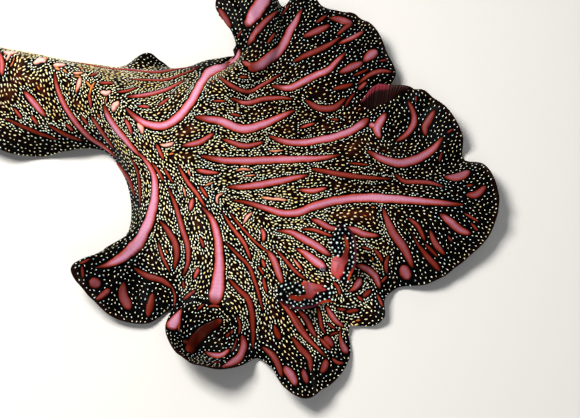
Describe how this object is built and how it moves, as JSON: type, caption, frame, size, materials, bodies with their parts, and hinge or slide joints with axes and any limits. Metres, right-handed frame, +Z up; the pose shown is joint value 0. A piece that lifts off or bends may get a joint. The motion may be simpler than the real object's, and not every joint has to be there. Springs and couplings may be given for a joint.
{
  "type": "marine flatworm model",
  "caption": "Life-size still model of a striped and spotted marine flatworm gliding with its wide rim in folds and two curled pseudotentacles on its head.",
  "frame": {"origin": "middle of the animal's outline seen from above, at the level of the floor that its lowest folds rest on", "axes": "+X along the body towards the head, +Y to the animal's left, +Z up from the floor"},
  "size_m": [0.0994, 0.0652, 0.012],
  "materials": {
    "trunk_skin": "moist satin skin, dark maroon with pink stripes and cream dots",
    "frill_skin": "moist satin skin, near black with pink stripes and cream dots",
    "tentacle_skin": "moist satin skin, black with pale dots and a red inner face"
  },
  "bodies": {
    "root": {"head": "trunk_skin", "trunk_middle": "trunk_skin", "trunk_bridge": "trunk_skin", "trunk_hind": "trunk_skin", "trunk_tail": "trunk_skin", "frill_left_tail": "frill_skin", "frill_left_hind": "frill_skin", "frill_left_waist": "frill_skin", "frill_left_bridge": "frill_skin", "frill_left_notch": "frill_skin", "frill_left_shoulder": "frill_skin", "frill_left_crown": "frill_skin", "frill_left_bowl": "frill_skin", "frill_left_front": "frill_skin", "frill_left_brow": "frill_skin", "frill_right_tail": "frill_skin", "frill_right_hind": "frill_skin", "frill_right_bridge": "frill_skin", "frill_right_notch": "frill_skin", "frill_right_flank": "frill_skin", "frill_right_cup": "frill_skin", "frill_right_front": "frill_skin", "pseudotentacle_left": "tentacle_skin", "pseudotentacle_right": "tentacle_skin"}
  },
  "joints": []
}
